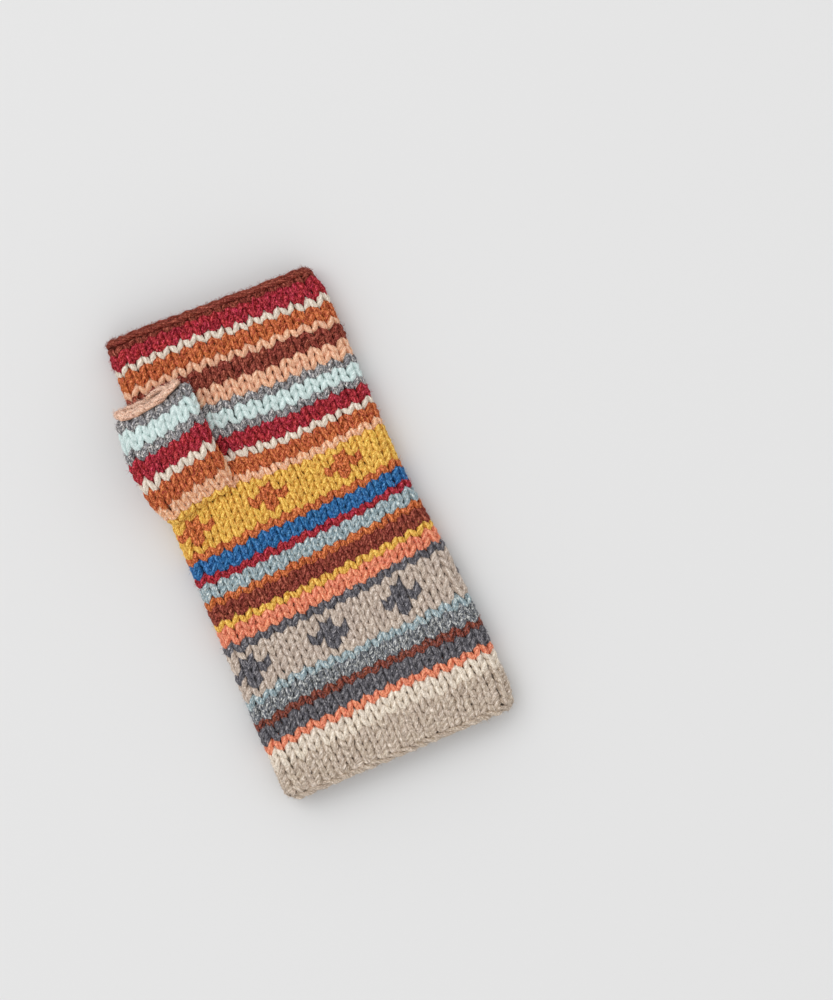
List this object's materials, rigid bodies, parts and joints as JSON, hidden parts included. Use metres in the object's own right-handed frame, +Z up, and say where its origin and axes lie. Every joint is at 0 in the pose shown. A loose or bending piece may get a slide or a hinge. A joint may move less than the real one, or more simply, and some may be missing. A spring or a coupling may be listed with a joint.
{
  "type": "wrist warmer",
  "caption": "Flat-lying hand-knitted fingerless wrist warmer: a wide striped tube open at both ends, with a short folded-over thumb tube and ridged edges.",
  "frame": {"origin": "on the surface the warmer lies on, under the middle of its box", "axes": "+X across the palm towards the side away from the thumb, +Y along the hand towards the fingers, +Z up from the surface through the back of the hand to the palm"},
  "size_m": [0.1112, 0.21, 0.0289],
  "materials": {
    "striped_wool": "soft matt stockinette of plied wool yarn, in stripes and two bands of small stars",
    "thumb_wool": "soft matt stockinette of plied wool yarn, striped",
    "brown_wool": "soft matt plied wool yarn, dark brown",
    "oatmeal_wool": "soft matt plied wool yarn, heathered oatmeal",
    "peach_wool": "soft matt plied wool yarn, peach"
  },
  "bodies": {
    "root": {"hand_tube": "striped_wool", "thumb_tube": "thumb_wool", "finger_edge": "brown_wool", "wrist_edge": "oatmeal_wool", "thumb_edge": "peach_wool"}
  },
  "joints": []
}
